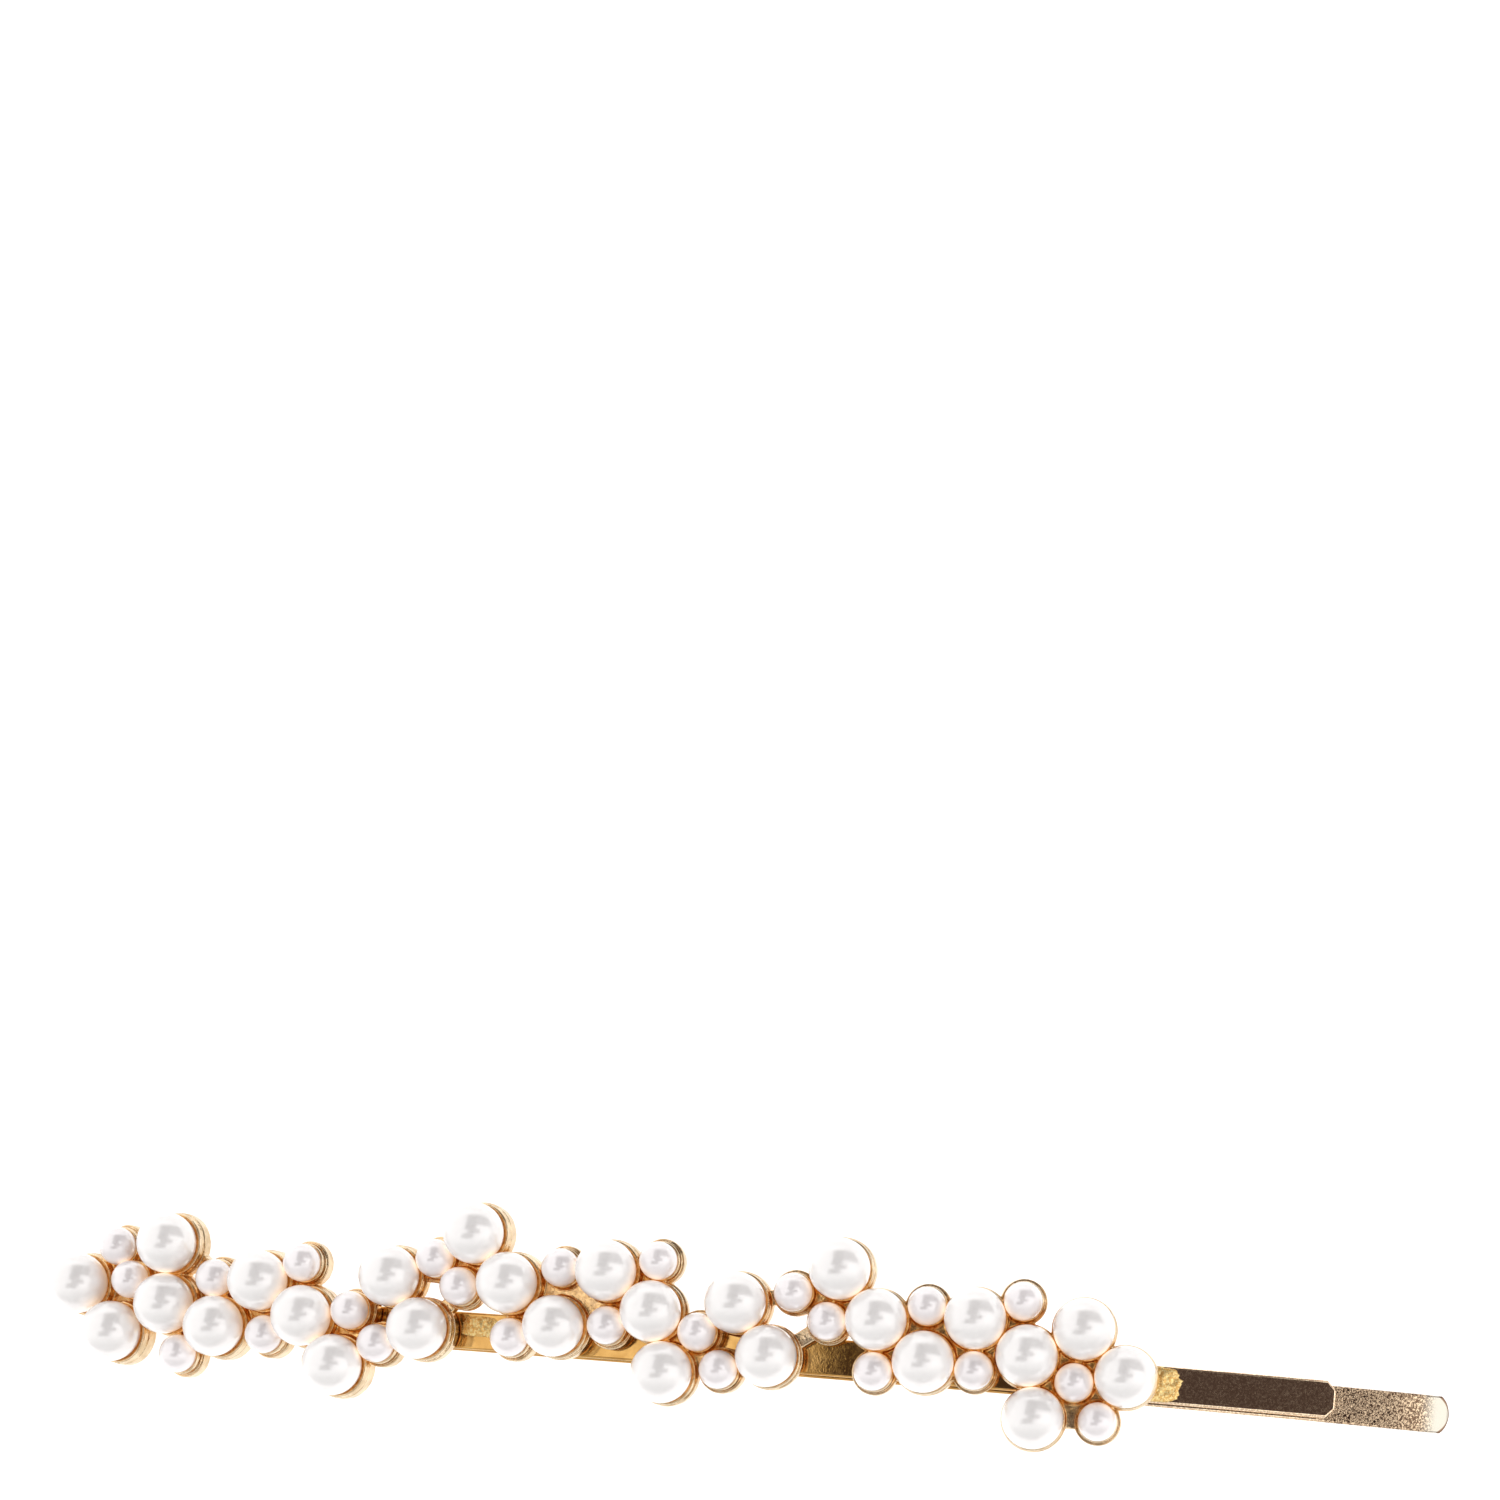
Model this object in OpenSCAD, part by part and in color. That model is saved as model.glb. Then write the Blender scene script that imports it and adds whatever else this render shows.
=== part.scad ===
// Hair slide: a cluster of imitation pearls in a cast setting, soldered along the upper leg of a
// folded flat spring strip. The lower leg is the clip that slides into the hair.
// The slide is curved to lie on the head. Places on it are given as a station along the arc,
// a distance across it and a height above the setting's underside.

/* [Pearls] */
// Diameter of a large pearl
large_d = 4; // [3.8:0.1:4]
// Diameter of a small pearl
small_d = 2.5; // [2.3:0.1:2.5]
// Metal left under a large pearl
large_bed = 0.25; // [0.2:0.05:0.35]
// Metal left under a small pearl
small_bed = 0.5; // [0.4:0.05:0.6]

/* [Setting] */
// Thickness of the plate that joins the cups
plate_t = 0.75; // [0.6:0.05:0.9]
// How far the plate stands out around a large pearl
large_edge = 0.12; // [0.1:0.01:0.2]
// How far the plate stands out around a small pearl
small_edge = 0.25; // [0.15:0.05:0.3]
// Height of the cup rims above the underside
rim_h = 1.25; // [1:0.05:1.35]
// How far a cup rim stands out around its pearl
rim_edge = 0.06; // [0.05:0.01:0.1]
// Gap between a pearl and the mouth of its cup
rim_gap = 0.06; // [0.03:0.01:0.1]
// Depth of the round seat that a pearl is glued into
seat_depth = 0.2; // [0.1:0.05:0.2]
// Width of the webs between neighbouring cups
web_w = 1; // [0.8:0.1:1.4]
// The plate fills the space between three cups that are nearer to each other than this
fill_gap = 1; // [0.5:0.1:1]

/* [Clip] */
// Width of the spring strip
leg_w = 2.4; // [2:0.1:3]
// Thickness of the spring strip
leg_t = 0.5; // [0.4:0.05:0.6]
// Radius of the arc that the setting and the upper leg follow
arc_r = 128; // [120:1:140]
// Gap between the legs where they grip
nip_gap = 0.15; // [0.1:0.05:0.3]
// Gap between the legs beside the fold
fold_gap = 0.7; // [0.6:0.1:1]
// Radius of the lower leg's flared end
flare_r = 70; // [60:1:100]
// Angle by which the lower leg runs to one side of the upper leg
leg_skew = 0.2; // [0:0.05:0.3]
// Thickness of the solder between the setting and the upper leg
solder_t = 0.1; // [0.05:0.05:0.2]

/* [Hidden] */
$fn = 64;

// Stations along the arc
fold_s = -41.5;
nip_s = 30;
upper_end_s = 40.3;
flare_len = 18;
apex_s = 3;

// The strip's details
edge_cut = 0.1;
corner_cut = 0.6;
tip_round_r = 1.5;
wedge_deg = 10;
big = 10;

// A pearl leans on an earlier one: its size, the number of the pearl that it leans on, the bearing
// to it in degrees from the slide's free end, and the width of any gap between the two.
LARGE = 0;
SMALL = 1;
first_place = [-45.6, 1.4];
chain = [
    [LARGE, 0, 0, 0],      // 0 the first pearl, over the fold
    [SMALL, 0, 45, 0.5],
    [LARGE, 0, -45, 0.3],
    [SMALL, 1, -60, 0],
    [LARGE, 3, 40, 0.7],
    [LARGE, 3, -25, 0.3],  // 5
    [SMALL, 5, -70, 0.2],
    [SMALL, 4, -30, 1],
    [LARGE, 7, -80, 0],
    [LARGE, 7, 0, 0.4],
    [SMALL, 8, -5, 0.4],   // 10
    [SMALL, 9, 25, 0],
    [LARGE, 10, 25, 0],
    [LARGE, 12, -50, 0],
    [SMALL, 12, 10, 0.1],
    [SMALL, 13, 30, 0],    // 15
    [LARGE, 14, 40, 0.5],
    [LARGE, 16, -55, 0],
    [SMALL, 16, 25, 0],
    [SMALL, 17, 50, 0.6],
    [LARGE, 19, 75, 0.4],  // 20
    [LARGE, 20, -50, 0],
    [SMALL, 21, -85, 0.3],
    [SMALL, 21, 20, 0.4],
    [LARGE, 23, -90, 0.6],
    [LARGE, 23, 0, 0],     // 25
    [SMALL, 24, 5, 0.2],
    [LARGE, 26, 20, 0],
    [SMALL, 25, 15, 0.2],
    [LARGE, 27, -75, 0],
    [SMALL, 27, -20, 0],   // 30
    [SMALL, 30, -55, 0.3],
    [LARGE, 30, 40, 0],
    [LARGE, 32, -55, 0],
    [SMALL, 32, 15, 0.5],
    [SMALL, 33, 35, 1.2],  // 35
    [LARGE, 34, 30, 0.2],
    [LARGE, 36, -50, 0],
    [SMALL, 37, -90, 0.1],
    [SMALL, 37, 20, 0.1],
    [LARGE, 38, 15, 0.1],  // 40
    [LARGE, 39, -10, 0],
    [SMALL, 40, -5, 0],
    [SMALL, 41, 25, 0],
    [LARGE, 42, 20, 0.3],
    [LARGE, 44, -80, 0],   // 45
    [SMALL, 44, -25, 0.2],
    [LARGE, 44, 30, 0],
    [SMALL, 46, -55, 0.4],
    [LARGE, 47, -45, 0]
];

// Stretches of the upper leg that are soldered to the setting: first and last station
solders = [[-38.5, -35.5], [-19, -13.6], [1.6, 4.4], [26.5, 29.6]];

function pearl_r(i) = chain[i][0] == LARGE ? large_d / 2 : small_d / 2;
function pearl_h(i) = pearl_r(i) + (chain[i][0] == LARGE ? large_bed : small_bed);
function cup_r(i) = pearl_r(i) + (chain[i][0] == LARGE ? large_edge : small_edge);
// Radius of a pearl at a height above the underside
function slice_r(i, h) = sqrt(pow(pearl_r(i), 2) - pow(pearl_h(i) - h, 2));
// Distance between two pearls that touch, measured along the arc
function touching(i, j) = sqrt(pow(pearl_r(i) + pearl_r(j), 2) - pow(pearl_h(i) - pearl_h(j), 2));
function step(i, j, bearing, gap) = (touching(i, j) + gap) * [cos(bearing), sin(bearing)];
function next_place(i, done) = i == 0
    ? first_place
    : done[chain[i][1]] + step(i, chain[i][1], chain[i][2], chain[i][3]);
function lay(i, done) = i == len(chain) ? done : lay(i + 1, concat(done, [next_place(i, done)]));
places = lay(0, []);
pearls = [for (i = [0 : len(chain) - 1]) i];

// The pairs of cups that a web joins: each cup and the one that it leans on, and one more pair
webs = concat([[48, 45]], [for (i = pearls) if (i > 0) [i, chain[i][1]]]);

// The trios of cups whose plate is filled in: all those that lie close, and one more
function close(i, j) = norm(places[i] - places[j]) - touching(i, j) < fill_gap;
function later(i) = [i + 1 : 1 : len(chain) - 1];
fills = concat([[16, 18, 19]], [
    for (i = pearls) for (j = later(i)) if (close(i, j))
        for (k = later(j)) if (close(i, k) && close(j, k)) [i, j, k]
]);

function arc_deg(s) = (s - apex_s) / arc_r * 180 / PI;

// The setting is built in short sections along the arc, whose cups all stand along one normal.
// The planes between them pass clear of the middle of every cup and of its walls.
seams = [-39.6, -28.9, -20.8, -10.9, -3.3, 4.6, 11.2, 17.7];
setting_from = min([for (i = pearls) places[i][0] - cup_r(i)]) - 0.1;
setting_to = max([for (i = pearls) places[i][0] + cup_r(i)]) + 0.1;
section_ends = concat([setting_from], seams, [setting_to]);
sections = [0 : len(seams)];
function section_half(section) = (section_ends[section + 1] - section_ends[section]) / 2;
function section_middle(section) = section_ends[section] + section_half(section);
function near(i, section, reach) =
    abs(places[i][0] - section_middle(section)) < section_half(section) + reach;
function within(section, reach) = [for (i = pearls) if (near(i, section, reach)) i];
// A pearl's place across a section's normal, and its height along it
function turn_from(i, section) = arc_deg(places[i][0]) - arc_deg(section_middle(section));
function seen(i, section) = [(arc_r + pearl_h(i)) * sin(turn_from(i, section)), places[i][1]];
function seen_h(i, section) = (arc_r + pearl_h(i)) * cos(turn_from(i, section)) - arc_r;

// The lower leg: its top face is nip_r from the arc's centre at the nip, where its two arcs meet
upper_r = arc_r - solder_t;
nip_r = upper_r - leg_t - nip_gap;
leg_bend = 2 * (fold_gap - nip_gap) / pow(nip_s - fold_s, 2);
lower_r = 1 / (1 / nip_r + leg_bend);
hinge_h = -solder_t - leg_t - fold_gap / 2;
tip_deg = flare_len / flare_r * 180 / PI;

// The frame's origin: the middle of the slide's bounding box, on the surface it stands on
tip_turn = arc_deg(nip_s) + tip_deg;
flare_centre = (nip_r - flare_r) * [sin(arc_deg(nip_s)), cos(arc_deg(nip_s))];
x_left = min([for (i = pearls) (arc_r + pearl_h(i)) * sin(arc_deg(places[i][0])) - pearl_r(i)]);
x_right = flare_centre[0] + flare_r * sin(tip_turn);
y_low = min([for (i = pearls) places[i][1] - cup_r(i)]);
y_high = max([for (i = pearls) places[i][1] + cup_r(i)]);
z_low = flare_centre[1] + (flare_r - leg_t) * cos(tip_turn);
origin = [(x_left + x_right) / 2, (y_low + y_high) / 2, z_low];

function two_digits(n) = n < 10 ? str("0", n) : str(n);
function pearl_name(i) = str(chain[i][0] == LARGE ? "large" : "small", "_pearl_", two_digits(i + 1));
function solder_name(i) = str("solder_joint_", i + 1);

// Puts its children at a place on the arc, square to it, with the arc's centre at the origin
module at(s, y = 0, h = 0) {
    rotate([0, arc_deg(s), 0]) translate([0, y, arc_r + h]) children();
}

module in_frame() {
    translate(-origin) children();
}

// The strip's cross-section, from r_out inwards, with its edges taken off
module strip_section(r_out) {
    w = leg_w / 2;
    c = edge_cut;
    r_in = r_out - leg_t;
    polygon([
        [r_in + c, -w], [r_out - c, -w], [r_out, c - w], [r_out, w - c],
        [r_out - c, w], [r_in + c, w], [r_in, w - c], [r_in, c - w]
    ]);
}

// The strip bent about the Y axis, between two angles that are measured from +X towards +Z
module bent_strip(r_out, from_deg, to_deg) {
    rotate([90, 0, 0]) rotate([0, 0, from_deg]) {
        rotate_extrude(angle = to_deg - from_deg, $fn = 360) strip_section(r_out);
    }
}

module pearl(i) {
    at(places[i][0], places[i][1], pearl_h(i)) sphere(r = pearl_r(i), $fn = 48);
}

module web(i, j, section) {
    way = places[j] - places[i];
    translate(seen(i, section)) rotate(atan2(way[1], way[0])) translate([0, -web_w / 2]) {
        square([touching(i, j), web_w]);
    }
}

// The outline of the rims near a section, or of their plate with its webs and filled spaces, seen
// along the section's own normal
module cup_outline(section, plate) {
    for (i = within(section, large_d)) {
        translate(seen(i, section)) circle(r = plate ? cup_r(i) : pearl_r(i) + rim_edge);
    }
    if (plate) {
        for (pair = webs) {
            if (near(pair[0], section, large_d)) web(pair[0], pair[1], section);
        }
        for (trio = fills) {
            if (near(trio[0], section, 2 * large_d)) polygon([for (i = trio) seen(i, section)]);
        }
    }
}

// The arc, wider and longer than the setting, from the underside up to a height
module arc_shell(h) {
    margin_deg = 2;
    rotate([90, 0, 0]) rotate([0, 0, 90 - arc_deg(setting_to) - margin_deg]) {
        rotate_extrude(angle = arc_deg(setting_to) - arc_deg(setting_from) + 2 * margin_deg, $fn = 360) {
            translate([arc_r, -big - y_high]) square([h, 2 * (big + y_high)]);
        }
    }
}

// Everything to one side of the plane square to the arc at a station
module beyond(s, side) {
    block = 2 * big;
    at(s) translate([side > 0 ? 0 : -block, -block, -block / 2]) cube([block, 2 * block, block]);
}

// One tier of the cups in a section: the plate, or the rims that rise through it
module tier(section, plate) {
    intersection() {
        at(section_middle(section), 0, -big / 2) linear_extrude(big) cup_outline(section, plate);
        arc_shell(plate ? plate_t : rim_h);
    }
}

// What is hollowed out of a cup: a straight bore down to the floor, and the pearl's round seat
module cup_hollow(i, section) {
    at(section_middle(section)) translate([seen(i, section)[0], seen(i, section)[1], seen_h(i, section)]) {
        translate([0, 0, seat_depth - pearl_r(i)]) cylinder(h = big, r = slice_r(i, rim_h) + rim_gap);
        sphere(r = pearl_r(i), $fn = 48);
    }
}

module setting() {
    color("tan") difference() {
        for (section = sections) {
            difference() {
                union() {
                    tier(section, true);
                    tier(section, false);
                }
                beyond(section_ends[section], -1);
                beyond(section_ends[section + 1], 1);
            }
        }
        for (section = sections) {
            for (i = within(section, 0)) cup_hollow(i, section);
        }
    }
}

module upper_leg() {
    color("goldenrod") difference() {
        bent_strip(upper_r, 90 - arc_deg(upper_end_s), 90 - arc_deg(fold_s));
        for (side = [-1, 1]) {
            at(upper_end_s, side * leg_w / 2) rotate([0, 0, 45]) {
                cube([corner_cut * sqrt(2), corner_cut * sqrt(2), big], center = true);
            }
        }
    }
}

// The fold stops short of the lower leg, so that the leg can turn
module fold() {
    color("goldenrod") at(fold_s, 0, hinge_h) {
        bent_strip(fold_gap / 2 + leg_t, 90, 270 - wedge_deg);
    }
}

// A stretch of the lower leg, through the nip and square to the arc's normal there
module lower_arc(top_r, from_deg, to_deg) {
    at(nip_s, 0, nip_r - arc_r - top_r) bent_strip(top_r, from_deg, to_deg);
}

module tip_trim() {
    at(nip_s, 0, nip_r - arc_r - flare_r) rotate([0, tip_deg, 0]) {
        translate([-tip_round_r, 0, flare_r - big / 2]) difference() {
            translate([0, -big / 2, 0]) cube([big, big, big]);
            translate([0, 0, -1]) cylinder(h = big + 2, r = tip_round_r);
        }
    }
}

module lower_leg() {
    back_deg = (nip_s - fold_s + 1) / lower_r * 180 / PI;
    color("darkgoldenrod") difference() {
        at(fold_s) rotate([0, 0, -leg_skew]) translate([0, 0, -arc_r]) rotate([0, -arc_deg(fold_s), 0]) {
            difference() {
                union() {
                    lower_arc(lower_r, 90, 90 + back_deg);
                    lower_arc(flare_r, 90 - tip_deg, 90);
                }
                tip_trim();
            }
        }
        at(fold_s, 0, hinge_h) translate([-big, -big / 2, -big / 2]) cube(big);
    }
}

module solder_joint(i) {
    solder_w = 1.8;
    color("khaki") rotate([90, 0, 0]) rotate([0, 0, 90 - arc_deg(solders[i][1])]) {
        rotate_extrude(angle = arc_deg(solders[i][1]) - arc_deg(solders[i][0]), $fn = 360) {
            translate([upper_r, -solder_w / 2]) square([solder_t, solder_w]);
        }
    }
}

in_frame() setting();
in_frame() upper_leg();
in_frame() fold();
in_frame() lower_leg();
for (i = [0 : len(solders) - 1]) {
    in_frame() solder_joint(i);
}
for (i = pearls) {
    in_frame() color("ivory") pearl(i);
}
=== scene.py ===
"""The looks of a pearl hair slide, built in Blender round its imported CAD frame.

The frame is in metres. The slide's long side runs along X and it stands on the floor at z = 0. Pieces
are shaped in millimetres and brought to metres at the end. Places on the slide are given as in the
CAD: a station along its arc, a distance across it and a height above the setting's underside.
"""

import math
import random

import bmesh
import bpy
from mathutils import Euler, Matrix, Vector, noise


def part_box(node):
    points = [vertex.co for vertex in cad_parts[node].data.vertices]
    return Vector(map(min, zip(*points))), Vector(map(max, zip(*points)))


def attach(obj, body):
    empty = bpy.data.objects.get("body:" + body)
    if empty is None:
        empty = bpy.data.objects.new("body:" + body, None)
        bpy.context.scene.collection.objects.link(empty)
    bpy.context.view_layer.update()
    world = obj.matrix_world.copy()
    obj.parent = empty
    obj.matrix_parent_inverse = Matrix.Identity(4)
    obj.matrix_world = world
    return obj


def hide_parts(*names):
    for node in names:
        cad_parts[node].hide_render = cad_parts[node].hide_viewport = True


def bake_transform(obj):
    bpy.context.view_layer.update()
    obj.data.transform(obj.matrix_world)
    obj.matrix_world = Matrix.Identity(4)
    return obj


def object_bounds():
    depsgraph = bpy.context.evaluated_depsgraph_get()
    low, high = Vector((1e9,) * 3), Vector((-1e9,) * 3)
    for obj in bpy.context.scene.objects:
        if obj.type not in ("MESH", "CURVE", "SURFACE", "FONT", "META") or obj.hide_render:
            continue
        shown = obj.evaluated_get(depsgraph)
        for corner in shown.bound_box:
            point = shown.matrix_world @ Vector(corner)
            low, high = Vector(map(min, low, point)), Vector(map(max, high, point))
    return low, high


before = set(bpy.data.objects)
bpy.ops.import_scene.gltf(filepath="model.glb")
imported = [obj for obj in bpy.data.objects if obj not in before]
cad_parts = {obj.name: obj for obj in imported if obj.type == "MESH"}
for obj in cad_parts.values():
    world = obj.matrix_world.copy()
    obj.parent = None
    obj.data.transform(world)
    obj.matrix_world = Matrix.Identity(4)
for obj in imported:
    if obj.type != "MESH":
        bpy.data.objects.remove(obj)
cad_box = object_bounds()

MM = 0.001

# The camera of the reference view: where it stands, how it is turned and how wide it sees
CAMERA_PLACE = Vector((137.5, -26.5, 594.8)) * MM
CAMERA_TURN = Euler([math.radians(a) for a in (7.194, 12.727, 5.056)], "XYZ")
CAMERA_ANGLE = math.radians(9.221)
SENSOR_MM = 36

# The arc that the slide follows, and its spring strip, in millimetres as in the CAD
ARC_R = 128.0
APEX_S = 3.0
APEX_X = 3.353
LEG_T = 0.5
SOLDER_T = 0.1
NIP_GAP = 0.15
FOLD_GAP = 0.7
FLARE_R = 70.0
FOLD_S = -41.5
NIP_S = 30.0
UPPER_END_S = 40.3
FLARE_LEN = 18.0
LEG_SKEW = math.radians(0.2)
CORNER_CUT = 0.6
TIP_ROUND_R = 1.5

# How round the strip's long edges are, and how far apart the rings of its mesh are
STRIP_EDGE_R = 0.13
RING_STEP = 0.8
FINE_RING_STEP = 0.12

# The cups: the heights of their rims and of their plate, how far each stands out round a pearl, and
# the metal of the plate that is left under a pearl
RIM_H = 1.25
RIM_EDGE = 0.06
PLATE_T = 0.75
BED = {"large": 0.25, "small": 0.5}
PLATE_EDGE = {"large": 0.12, "small": 0.25}

# Each solder bead's shift along and across its pad, its share of the pad's length and its half width
BEADS = [(0, 0, 1, 0.95), (0.1, 0.3, 0.45, 0.68), (0, 0, 1, 0.95), (0.45, 0, 1.15, 1.12)]

upper_box = [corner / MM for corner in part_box("upper_leg")]
LEG_W = upper_box[1].y - upper_box[0].y
STRIP_Y = (upper_box[0].y + upper_box[1].y) / 2
UPPER_R = ARC_R - SOLDER_T
ARC_CENTRE = Vector((APEX_X, STRIP_Y, upper_box[1].z - UPPER_R))


def turn_at(s):
    return (s - APEX_S) / ARC_R


def normal_at(s):
    return Vector((math.sin(turn_at(s)), 0, math.cos(turn_at(s))))


def at(s, y=0.0, h=0.0):
    """A place on the slide, in millimetres in the frame. y is measured from the strip's middle."""
    return ARC_CENTRE + normal_at(s) * (ARC_R + h) + Vector((0, y, 0))


# --- nodes ---------------------------------------------------------------------------------------


class Nodes:
    """A material's or a world's node tree, with short calls to add and link nodes."""

    def __init__(self, owner):
        owner.use_nodes = True
        self.tree = owner.node_tree
        self.tree.nodes.clear()

    def add(self, kind, values=None, **settings):
        node = self.tree.nodes.new(kind)
        for name, value in settings.items():
            setattr(node, name, value)
        for name, value in (values or {}).items():
            self.set(node, name, value)
        return node

    def set(self, node, name, value):
        socket = node.inputs[name]
        if isinstance(value, bpy.types.NodeSocket):
            self.tree.links.new(value, socket)
        else:
            socket.default_value = value

    def math(self, operation, a, b=0.0, c=0.0):
        return self.add("ShaderNodeMath", {0: a, 1: b, 2: c}, operation=operation).outputs[0]

    def dot(self, a, b):
        node = self.add("ShaderNodeVectorMath", {0: a, 1: b}, operation="DOT_PRODUCT")
        return node.outputs["Value"]

    def smooth(self, value, start, end, low=0.0, high=1.0):
        """low where value is at start, high where it is at end, and smooth in between."""
        values = {0: value, 1: start, 2: end, 3: low, 4: high}
        return self.add("ShaderNodeMapRange", values, interpolation_type="SMOOTHSTEP").outputs[0]

    def noise(self, grain, detail=2.0, distortion=0.0):
        """Noise with grains of about that size, in millimetres."""
        here = self.add("ShaderNodeTexCoord").outputs["Object"]
        values = {"Vector": here, "Scale": 1 / (grain * MM), "Detail": detail, "Distortion": distortion}
        return self.add("ShaderNodeTexNoise", values).outputs["Fac"]

    def crevices(self, reach):
        """1 deep in a crevice, 0 in the open, judged over that reach, in millimetres."""
        open_share, deep_share = 0.7, 0.15
        node = self.add("ShaderNodeAmbientOcclusion", {"Distance": reach * MM}, samples=6)
        return self.smooth(node.outputs["AO"], open_share, deep_share)

    def mix(self, share, a, b):
        node = self.add("ShaderNodeMix", data_type="RGBA")
        self.set(node, 0, share)
        self.set(node, 6, a)
        self.set(node, 7, b)
        return node.outputs[2]

    def bump(self, height, depth, under=None):
        """A normal for a surface whose height goes from 0 to 1 over that depth, in millimetres."""
        node = self.add("ShaderNodeBump", {"Height": height, "Distance": depth * MM})
        if under is not None:
            self.set(node, "Normal", under)
        return node.outputs["Normal"]


def rgb(*parts):
    return (*parts, 1.0)


def material(name, colour, roughness, normal, glow=None, **values):
    """A Principled material. Its colour, roughness, normal and glow are functions of its node tree."""
    made = bpy.data.materials.new(name)
    nodes = Nodes(made)
    shader = nodes.add("ShaderNodeBsdfPrincipled")
    nodes.set(shader, "Base Color", colour(nodes))
    nodes.set(shader, "Roughness", roughness(nodes))
    nodes.set(shader, "Normal", normal(nodes))
    if glow is not None:
        nodes.set(shader, "Emission Color", glow(nodes))
    for socket, value in values.items():
        nodes.set(shader, socket.replace("_", " "), value)
    output = nodes.add("ShaderNodeOutputMaterial")
    nodes.set(output, "Surface", shader.outputs[0])
    return made


# --- materials -----------------------------------------------------------------------------------


def pearl_material(name, light, shade):
    """Pearl lacquer: a milky body under a soft gloss. Where pearls touch each other and the gold,
    a warm emission is painted in as light in the crevices."""

    def colour(n):
        return n.mix(n.smooth(n.noise(2.5), 0.35, 0.65), light, shade)

    def roughness(n):
        return n.smooth(n.noise(0.8, 3), 0.3, 0.7, 0.18, 0.26)

    def normal(n):
        waves = n.bump(n.noise(1.5, 1), 0.014)
        return n.bump(n.noise(0.3, 3), 0.0012, waves)

    # Painted light: a warm emission that grows where the crevices deepen, between the pearls and against the
    # gold.
    def glow(n):
        return n.mix(n.crevices(1.3), rgb(0, 0, 0), rgb(0.30, 0.22, 0.14))

    gloss = {"Metallic": 0.18, "Coat_Weight": 0.8, "Coat_Roughness": 0.12}
    return material(name, colour, roughness, normal, glow, Emission_Strength=1.0, **gloss)


def cast_gold():
    """Plated casting: a satin skin with fine wear, with painted shade and warm bounce light in its
    crevices, which makes them a deeper, darker orange.
    """

    def colour(n):
        blotches = n.smooth(n.noise(0.9, 4), 0.35, 0.7)
        open_skin = n.mix(blotches, rgb(0.82, 0.66, 0.46), rgb(0.62, 0.46, 0.28))
        grain = n.smooth(n.noise(0.3, 3), 0.4, 0.6)
        # Painted shade and warm bounce light: the crevices get a deeper, darker orange.
        painted_crevice_shade = n.mix(grain, rgb(0.82, 0.47, 0.16), rgb(0.56, 0.28, 0.07))
        return n.mix(n.crevices(2.0), open_skin, painted_crevice_shade)

    def roughness(n):
        return n.smooth(n.noise(0.5, 3), 0.3, 0.7, 0.14, 0.28)

    def normal(n):
        waves = n.bump(n.noise(0.6, 2), 0.05)
        return n.bump(n.noise(0.2, 2), 0.008, waves)

    return material("cast_gold", colour, roughness, normal, Metallic=1.0)


def strip_gold(name, worn_from):
    """Plated spring strip: a deep amber along the setting, which is painted shade and warm bounce light
    under the pearls, and champagne towards the tips of its legs. From worn_from on, in metres, the
    plating is crackled, as far as the lower leg's smooth lip."""
    painted_shade_to, champagne_from = 0.018, 0.026
    tip_x = cad_box[1].x
    tip_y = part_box("lower_leg")[0].y + LEG_W / 2 * MM

    def along(n):
        here = n.add("ShaderNodeTexCoord").outputs["Object"]
        return n.add("ShaderNodeSeparateXYZ", {0: here}).outputs["X"]

    def rim_of_tip(n):
        """1 on a thin line round the end of the lower leg, which is an arc."""
        here = n.add("ShaderNodeTexCoord").outputs["Object"]
        x, y = (n.add("ShaderNodeSeparateXYZ", {0: here}).outputs[axis] for axis in "XY")
        x = n.math("SUBTRACT", x, tip_x - TIP_ROUND_R * MM)
        y = n.math("SUBTRACT", y, tip_y)
        reach = n.math("SQRT", n.math("MULTIPLY_ADD", x, x, n.math("MULTIPLY", y, y)))
        rim = n.smooth(reach, (TIP_ROUND_R - 0.17) * MM, (TIP_ROUND_R - 0.1) * MM)
        return n.math("MULTIPLY", rim, n.smooth(x, 0.6 * MM, 0.8 * MM))

    def worn(n):
        return n.smooth(along(n), worn_from, worn_from + MM)

    def crackle(n):
        return n.smooth(n.noise(0.13, 1, 0.8), 0.4, 0.6)

    def colour(n):
        clouds = n.smooth(n.noise(1.2, 3), 0.3, 0.7)
        grain = n.smooth(n.noise(0.14, 2), 0.45, 0.6)
        # Painted shade and warm bounce light: a deep amber where the strip runs under the setting.
        painted_shade_amber = n.mix(clouds, rgb(0.64, 0.37, 0.12), rgb(0.52, 0.28, 0.08))
        champagne = n.mix(grain, rgb(0.72, 0.52, 0.35), rgb(1.0, 0.80, 0.56))
        plated = n.mix(n.smooth(along(n), painted_shade_to, champagne_from), painted_shade_amber, champagne)
        crackled = n.mix(crackle(n), rgb(0.17, 0.10, 0.06), rgb(0.76, 0.57, 0.38))
        tip = n.mix(worn(n), plated, crackled)
        lip = n.mix(n.smooth(along(n), tip_x - 2 * MM, tip_x - 0.7 * MM), tip, rgb(0.58, 0.54, 0.46))
        return n.mix(rim_of_tip(n), lip, rgb(0.22, 0.13, 0.08))

    def roughness(n):
        return n.smooth(n.noise(0.3, 2), 0.3, 0.7, 0.06, 0.12)

    def normal(n):
        peel = n.bump(n.noise(0.16, 1, 0.6), 0.002)
        before_lip = n.smooth(along(n), tip_x - 2 * MM, tip_x - 0.8 * MM, 1, 0)
        relief = n.math("MULTIPLY", crackle(n), n.math("MULTIPLY", worn(n), before_lip))
        return n.bump(relief, 0.02, peel)

    return material(name, colour, roughness, normal, Metallic=1.0)


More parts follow.
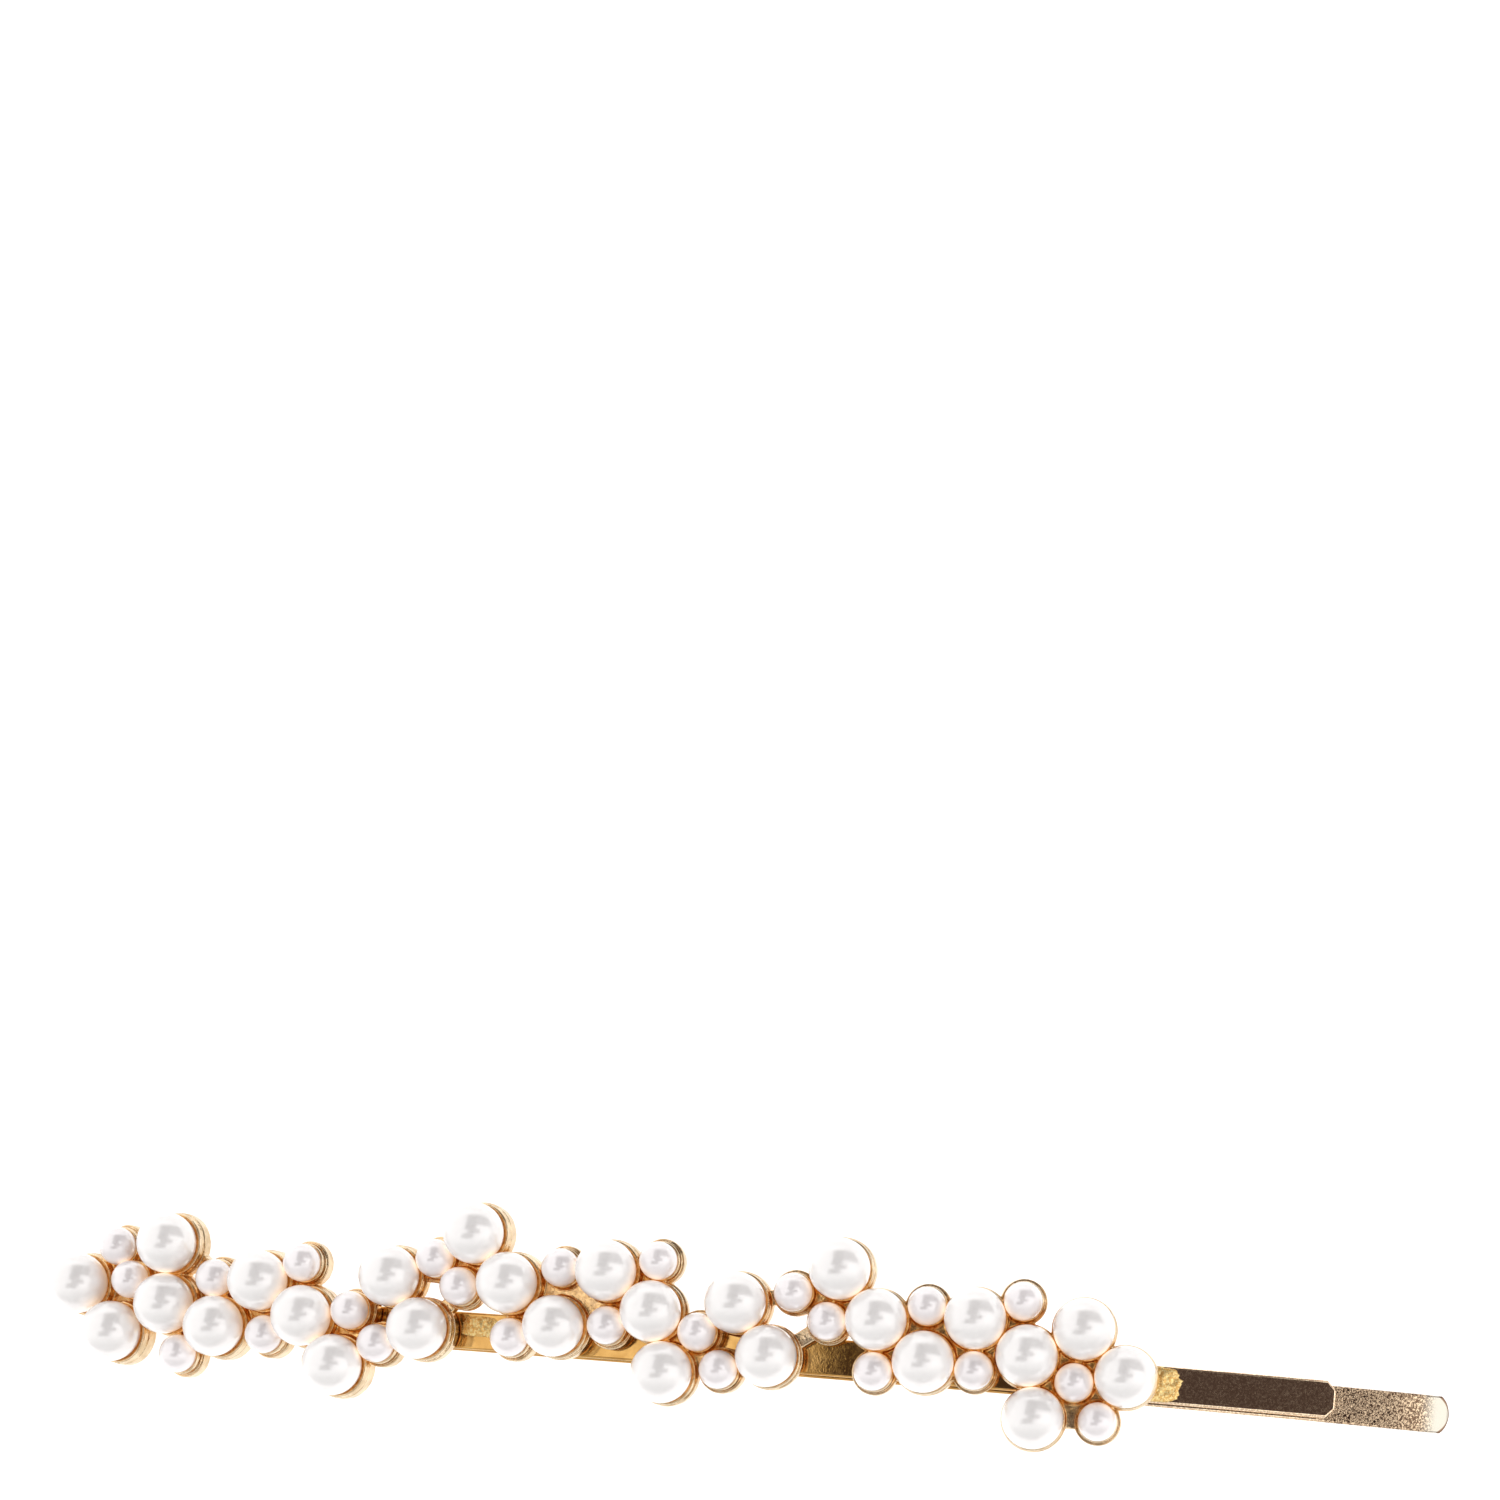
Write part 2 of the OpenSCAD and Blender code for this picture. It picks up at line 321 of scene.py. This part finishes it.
def solder_gold():
    """Gilded solder: a deeper yellow, lumpy and crinkled."""

    def colour(n):
        grain = n.smooth(n.noise(0.14, 2), 0.4, 0.6)
        return n.mix(grain, rgb(1.0, 0.77, 0.34), rgb(0.76, 0.44, 0.13))

    def roughness(n):
        return n.smooth(n.noise(0.3, 3), 0.3, 0.7, 0.22, 0.38)

    def normal(n):
        return n.bump(n.noise(0.16, 3, 0.5), 0.04)

    return material("solder_gold", colour, roughness, normal, Metallic=0.7)


LARGE_PEARL = pearl_material("pearl_large", rgb(0.93, 0.905, 0.89), rgb(0.91, 0.88, 0.865))
SMALL_PEARL = pearl_material("pearl_small", rgb(0.93, 0.885, 0.885), rgb(0.90, 0.85, 0.855))
CAST = cast_gold()
STRIP = strip_gold("strip_gold", cad_box[1].x)
WORN_STRIP = strip_gold("strip_gold_worn", (at(UPPER_END_S).x - 1.5) * MM)
SOLDER = solder_gold()


# --- the stage -----------------------------------------------------------------------------------


def make_camera():
    data = bpy.data.cameras.new("camera")
    data.sensor_width = SENSOR_MM
    data.lens = SENSOR_MM / 2 / math.tan(CAMERA_ANGLE / 2)
    camera = bpy.data.objects.new("camera", data)
    camera.location = CAMERA_PLACE
    camera.rotation_euler = CAMERA_TURN
    bpy.context.scene.collection.objects.link(camera)
    bpy.context.scene.camera = camera


def make_world():
    """A white light tent, dimmer at the front and brightest at the back. It has a dark opening: an
    upright bar that leans, a half-shut bar to its right along its top and a slot across it. In the
    corner of the two bars is a brighter pane. Places in the tent are given as the slope of the
    surface that mirrors them."""
    turn = CAMERA_TURN.to_matrix()
    right, up, back = (turn @ Vector(axis) for axis in ((1, 0, 0), (0, 1, 0), (0, 0, 1)))
    world = bpy.data.worlds.new("tent")
    n = Nodes(world)
    towards = n.add("ShaderNodeTexCoord").outputs["Generated"]
    x, y, z = (n.dot(towards, axis) for axis in (right, up, back))
    z = n.math("ADD", z, 1.0)
    square = n.math("ADD", n.math("MULTIPLY", x, x), n.math("MULTIPLY", y, y))
    length = n.math("SQRT", n.math("MULTIPLY_ADD", z, z, square))
    u = n.math("DIVIDE", x, length)
    v = n.math("DIVIDE", y, length)

    def band(value, low, high, soft):
        rise = n.smooth(value, low - soft, low + soft)
        fall = n.smooth(value, high - soft, high + soft, 1.0, 0.0)
        return n.math("MULTIPLY", rise, fall)

    # Each stretch below is its two ends and how softly it ends, across in u and along in v
    upright_u, above_slot_v, below_slot_v = (-0.34, 0.02, 0.05), (0.135, 0.6, 0.02), (-0.15, 0.015, 0.02)
    lintel_u, lintel_v = (-0.22, 0.72, 0.06), (0.3, 0.62, 0.06)
    slot_u, slot_v = (-0.191, 0.23, 0.009), (0.015, 0.135, 0.02)
    pane_u, pane_v = (0.12, 0.55, 0.06), (-0.15, 0.22, 0.08)
    upright_lean, lintel_sag, lintel_shut = -0.32, 0.35, 0.82
    walls, front, behind, pane_light = (rgb(level, level, level) for level in (1.45, 0.62, 1.75, 1.8))
    dark = rgb(0.085, 0.065, 0.062)

    leaning = n.math("MULTIPLY_ADD", v, upright_lean, u)
    sagging = n.math("MULTIPLY_ADD", n.math("MULTIPLY", u, u), lintel_sag, v)
    round_slot = n.math("MAXIMUM", band(v, *above_slot_v), band(v, *below_slot_v))
    upright = n.math("MULTIPLY", band(leaning, *upright_u), round_slot)
    lintel = n.math("MULTIPLY", band(u, *lintel_u), band(sagging, *lintel_v))
    half_shut = n.math("MULTIPLY", lintel, lintel_shut)
    slot = n.math("MULTIPLY", band(u, *slot_u), band(v, *slot_v))
    pane = n.math("MULTIPLY", band(u, *pane_u), band(v, *pane_v))
    opening = n.math("MAXIMUM", n.math("MAXIMUM", upright, slot), half_shut)
    white = n.mix(n.smooth(v, -0.1, -0.5), walls, front)
    white = n.mix(n.smooth(v, 0.58, 0.66), white, behind)
    white = n.mix(pane, white, pane_light)
    light = n.mix(opening, white, dark)
    background = n.add("ShaderNodeBackground", {"Color": light})
    output = n.add("ShaderNodeOutputWorld")
    n.set(output, "Surface", background.outputs[0])
    bpy.context.scene.world = world


def make_floor():
    bpy.ops.mesh.primitive_plane_add(size=6)
    floor = bpy.context.object
    floor.name = "floor"
    made = bpy.data.materials.new("floor")
    n = Nodes(made)
    paper = n.add("ShaderNodeBsdfDiffuse", {"Color": rgb(0.7, 0.7, 0.7)})
    glow = n.add("ShaderNodeEmission", {"Color": rgb(1, 1, 1), "Strength": 0.75})
    both = n.add("ShaderNodeAddShader", {0: paper.outputs[0], 1: glow.outputs[0]})
    output = n.add("ShaderNodeOutputMaterial")
    n.set(output, "Surface", both.outputs[0])
    floor.data.materials.append(made)


# --- mesh work -----------------------------------------------------------------------------------


def object_of(name, mesh, made):
    """A new object for a mesh in millimetres, which it brings to metres."""
    mesh.transform(Matrix.Scale(MM, 4))
    mesh.materials.clear()
    mesh.materials.append(made)
    mesh.shade_smooth()
    obj = bpy.data.objects.new(name, mesh)
    bpy.context.scene.collection.objects.link(obj)
    return obj


def mesh_of(name, work):
    bmesh.ops.recalc_face_normals(work, faces=work.faces)
    mesh = bpy.data.meshes.new(name)
    work.to_mesh(mesh)
    work.free()
    return mesh


def shaped(mesh, *modifiers):
    """The mesh after these modifiers, each a type and its settings."""
    holder = bpy.data.objects.new("holder", mesh)
    bpy.context.scene.collection.objects.link(holder)
    for kind, settings in modifiers:
        modifier = holder.modifiers.new(kind.lower(), kind)
        for name, value in settings.items():
            setattr(modifier, name, value)
    depsgraph = bpy.context.evaluated_depsgraph_get()
    made = bpy.data.meshes.new_from_object(holder.evaluated_get(depsgraph))
    bpy.data.objects.remove(holder)
    return made


def rounded_profile(half_w, half_t, radius, steps=4):
    """The corners of a rounded rectangle, as pairs of a distance across and a height. A point just
    inside each end of the wide faces keeps them flat under smooth shading."""
    hold = min(0.03, (half_w - radius) / 2)
    points = []
    for number, (side, top) in enumerate(((1, 1), (-1, 1), (-1, -1), (1, -1))):
        corner = []
        for step in range(steps + 1):
            angle = math.pi / 2 * (number + step / steps)
            across = side * (half_w - radius) + radius * math.cos(angle)
            up = top * (half_t - radius) + radius * math.sin(angle)
            corner.append((across, up))
        inside = (side * (half_w - radius - hold), top * half_t)
        points += corner + [inside] if side == top else [inside] + corner
    return points


def sweep(name, rings):
    """A closed bar through rings of the same number of points."""
    work = bmesh.new()
    rows = [[work.verts.new(point) for point in ring] for ring in rings]
    for before, after in zip(rows, rows[1:]):
        for i in range(len(before)):
            j = (i + 1) % len(before)
            work.faces.new((before[i], before[j], after[j], after[i]))
    work.faces.new(rows[0])
    work.faces.new(rows[-1][::-1])
    return mesh_of(name, work)


def strip_ring(middle, normal, half_w, half_t):
    """The strip's outline round a point in the middle of its thickness."""
    radius = min(STRIP_EDGE_R, half_t * 0.9, half_w * 0.9)
    profile = rounded_profile(half_w, half_t, radius)
    return [middle + Vector((0, y, 0)) + normal * h for y, h in profile]


def stations(start, end, step):
    count = max(1, round(abs(end - start) / step))
    return [start + (end - start) * i / count for i in range(count + 1)]


def rounded_end(end, length, steps=8):
    """Stations over an end that rounds off in that length, each with its share of the full inset."""
    angles = [math.pi / 2 * i / steps for i in range(steps + 1)]
    return [(end - length + length * math.sin(a), 1 - math.cos(a)) for a in angles]


# --- the slide -----------------------------------------------------------------------------------


def upper_leg():
    """The strip's upper leg, which ends in two cut corners."""
    edge = 0.14
    half_w, half_t = LEG_W / 2, LEG_T / 2
    cut_from = UPPER_END_S - CORNER_CUT
    places = [(s, 0) for s in stations(FOLD_S, cut_from, RING_STEP)]
    places += [(s, 0) for s in stations(cut_from, UPPER_END_S - edge, FINE_RING_STEP)[1:-1]]
    places += rounded_end(UPPER_END_S, edge)
    rings = []
    for s, inset in places:
        width = half_w - max(0, s - cut_from) - inset * edge
        middle = at(s, 0, -SOLDER_T - half_t)
        rings.append(strip_ring(middle, normal_at(s), width, half_t - inset * edge))
    return sweep("upper_leg", rings)


def fold():
    """The half ring that joins the two legs."""
    normal = normal_at(FOLD_S)
    back = Vector((-normal.z, 0, normal.x))
    centre = at(FOLD_S, 0, -SOLDER_T - LEG_T - FOLD_GAP / 2)
    middle_r = (FOLD_GAP + LEG_T) / 2
    rings = []
    for angle in stations(0, math.pi, math.pi / 24):
        outward = normal * math.cos(angle) + back * math.sin(angle)
        rings.append(strip_ring(centre + outward * middle_r, outward, LEG_W / 2, LEG_T / 2))
    return sweep("fold", rings)


def lower_leg():
    """The strip's lower leg: a long arc to the nip, and the flared end with its round lip."""
    half_w, half_t = LEG_W / 2, LEG_T / 2
    nip_r = UPPER_R - LEG_T - NIP_GAP
    bend = 2 * (FOLD_GAP - NIP_GAP) / (NIP_S - FOLD_S) ** 2
    arc_r = 1 / (1 / nip_r + bend)
    nip = ARC_CENTRE + normal_at(NIP_S) * nip_r
    tip_s = NIP_S + FLARE_LEN
    lip, edge, least_square = 0.6, 0.16, 0.04
    round_from = tip_s - TIP_ROUND_R + math.sqrt(TIP_ROUND_R**2 - half_w**2)
    swing = Matrix.Rotation(-LEG_SKEW, 4, normal_at(FOLD_S))
    pivot = at(FOLD_S)

    def ring(s, inset):
        radius = FLARE_R if s > NIP_S else arc_r
        turn = turn_at(NIP_S) + (s - NIP_S) / radius
        normal = Vector((math.sin(turn), 0, math.cos(turn)))
        top = nip - normal_at(NIP_S) * radius + normal * radius
        width = half_w
        if s > round_from:
            width = math.sqrt(max(least_square, TIP_ROUND_R**2 - (s - tip_s + TIP_ROUND_R) ** 2))
        slope = inset * edge
        middle = top - normal * (half_t + slope / 2)
        outline = strip_ring(middle, normal, width - slope / 2, half_t - slope)
        return [pivot + swing @ (point - pivot) for point in outline]

    places = [(s, 0) for s in stations(FOLD_S, tip_s - lip, RING_STEP)[:-1]]
    places += rounded_end(tip_s, lip, 14)
    return sweep("lower_leg", [ring(s, inset) for s, inset in places])


def add_wire(work, centre, normal, ring_r, wire_r):
    """A round wire bent into a ring."""
    side = Vector((0, 1, 0))
    out = side.cross(normal)
    turns, sides = 72, 8
    rows = []
    for i in range(turns):
        angle = math.tau * i / turns
        outward = out * math.cos(angle) + side * math.sin(angle)
        row = []
        for j in range(sides):
            tilt = math.tau * j / sides
            spot = centre + outward * (ring_r + wire_r * math.cos(tilt)) + normal * (wire_r * math.sin(tilt))
            row.append(work.verts.new(spot))
        rows.append(row)
    for i in range(turns):
        row, after = rows[i], rows[(i + 1) % turns]
        for j in range(sides):
            k = (j + 1) % sides
            work.faces.new((row[j], after[j], after[k], row[k]))


def cast_setting():
    """The casting: the CAD's cups and plate with every edge softened, and a bead round each cup's
    rim and foot."""
    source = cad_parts["setting"].data.copy()
    source.transform(Matrix.Scale(1 / MM, 4))
    work = bmesh.new()
    work.from_mesh(source)
    bmesh.ops.remove_doubles(work, verts=work.verts, dist=0.0005)
    mesh = mesh_of("cast_setting", work)
    voxel = 0.06
    remesh = {"mode": "VOXEL", "voxel_size": voxel, "adaptivity": 0.0}
    mesh = shaped(mesh, ("REMESH", remesh), ("SMOOTH", {"factor": 0.5, "iterations": 3}))
    work = bmesh.new()
    work.from_mesh(mesh)
    rim_wire, foot_wire = 0.1, 0.07
    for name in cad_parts:
        if "pearl" in name:
            size = name.split("_")[0]
            low, high = (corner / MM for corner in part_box(name))
            middle, radius = (low + high) / 2, (high.z - low.z) / 2
            normal = Vector((middle.x - ARC_CENTRE.x, 0, middle.z - ARC_CENTRE.z)).normalized()
            base = middle - normal * (radius + BED[size])
            rim = base + normal * (RIM_H - rim_wire / 2)
            add_wire(work, rim, normal, radius + RIM_EDGE - rim_wire, rim_wire)
            foot = base + normal * (PLATE_T - foot_wire / 2)
            add_wire(work, foot, normal, radius + PLATE_EDGE[size] - foot_wire, foot_wire)
    return mesh_of("cast_setting", work)


def bottom_of(vert):
    """The place just inside the strip that lies under a point of a solder blob's edge."""
    turn = math.atan2(vert.co.x - ARC_CENTRE.x, vert.co.z - ARC_CENTRE.z)
    return APEX_S + turn * ARC_R, vert.co.y - STRIP_Y, -SOLDER_T - 0.03


def solder_bead(node, number):
    """A lumpy blob of solder on the strip, round the CAD's pad."""
    low, high = (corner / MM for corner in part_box(node))
    start = APEX_S + math.asin((low.x - APEX_X) / UPPER_R) * ARC_R
    end = APEX_S + math.asin((high.x - APEX_X) / UPPER_R) * ARC_R
    along, across, share, half_w = BEADS[number - 1]
    middle_s = (start + end) / 2 + along
    half_len = (end - start) / 2 * share
    shift = Vector((number * 7.3, 0, 0))
    sectors, rings = 64, 14
    work = bmesh.new()

    def spot(angle, reach):
        """Where a ring of the blob passes in a direction, as steps along and across the strip."""
        cos, sin = math.cos(angle), math.sin(angle)
        square = (abs(cos) ** 4 + abs(sin) ** 4) ** -0.25
        ragged = 1 + 0.16 * noise.noise(Vector((cos * 2.5, sin * 2.5, 3)) + shift)
        ragged += 0.1 * noise.noise(Vector((cos * 8, sin * 8, 9)) + shift)
        return reach * half_len * square * ragged * cos, reach * half_w * square * min(1, ragged) * sin

    def lift(s, y, reach):
        lumps = noise.noise(Vector((s * 1.1, y * 1.1, 0)) + shift)
        grains = noise.noise(Vector((s * 3.2, y * 3.2, 5)) + shift)
        return (1 - reach**3) * (0.15 + 0.08 * lumps + 0.08 * grains)

    def ring_of(reach):
        row = []
        for i in range(sectors):
            s, y = spot(math.tau * i / sectors, reach)
            row.append(work.verts.new(at(middle_s + s, across + y, lift(s, y, reach) - SOLDER_T)))
        return row

    rows = [ring_of((i + 1) / rings) for i in range(rings)]
    rows.append([work.verts.new(at(*bottom_of(vert))) for vert in rows[-1]])
    top = work.verts.new(at(middle_s, across, lift(0, 0, 0) - SOLDER_T))
    for i in range(sectors):
        j = (i + 1) % sectors
        work.faces.new((top, rows[0][i], rows[0][j]))
        for row, after in zip(rows, rows[1:]):
            work.faces.new((row[i], after[i], after[j], row[j]))
    work.faces.new(rows[-1][::-1])
    return mesh_of(node, work)


def pearl(radius, rng):
    """A pearl of that radius, a hair out of round, at the origin and turned at random."""
    out_of_round = 0.004
    work = bmesh.new()
    bmesh.ops.create_uvsphere(work, u_segments=72, v_segments=44, radius=radius)
    shift = Vector([rng.uniform(-50, 50) for _ in range(3)])
    for vert in work.verts:
        vert.co *= 1 - out_of_round * (1 + noise.noise(vert.co / radius * 1.1 + shift))
    turn = Euler([rng.uniform(0, math.tau) for _ in range(3)]).to_matrix()
    bmesh.ops.transform(work, matrix=turn.to_4x4(), verts=work.verts)
    return mesh_of("pearl", work)


def place(name, mesh, made, slot, body, *nodes):
    obj = object_of(name, mesh, made)
    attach(obj, body)
    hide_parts(*nodes)
    return obj


def make_slide():
    place("strip_upper_leg", upper_leg(), STRIP, "strip_gold", "slide", "upper_leg")
    place("strip_lower_leg", lower_leg(), WORN_STRIP, "strip_gold", "clip", "lower_leg")

    band = object_of("strip_fold", fold(), STRIP)
    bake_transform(band)
    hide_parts("fold")

    place("cast_setting", cast_setting(), CAST, "cast_gold", "slide", "setting")

    rng = random.Random(5)
    for name in sorted(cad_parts):
        if name.startswith("solder_joint"):
            number = int(name[-1])
            bead = solder_bead(name, number)
            place(f"solder_bead_{number}", bead, SOLDER, "solder_gold", "slide", name)
        if "pearl" in name:
            low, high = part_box(name)
            large = name.startswith("large")
            mesh = pearl((high.z - low.z) / 2 / MM, rng)
            made, slot = (LARGE_PEARL, "pearl_large") if large else (SMALL_PEARL, "pearl_small")
            size, number = name.split("_pearl_")
            obj = object_of(f"pearl_{size}_{number}", mesh, made)
            obj.location = (low + high) / 2
            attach(obj, "slide")
            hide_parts(name)


make_slide()
make_camera()
make_world()
make_floor()
bpy.context.scene.view_settings.view_transform = "Standard"
bpy.context.scene.cycles.diffuse_bounces = 10
bpy.context.scene.cycles.glossy_bounces = 10
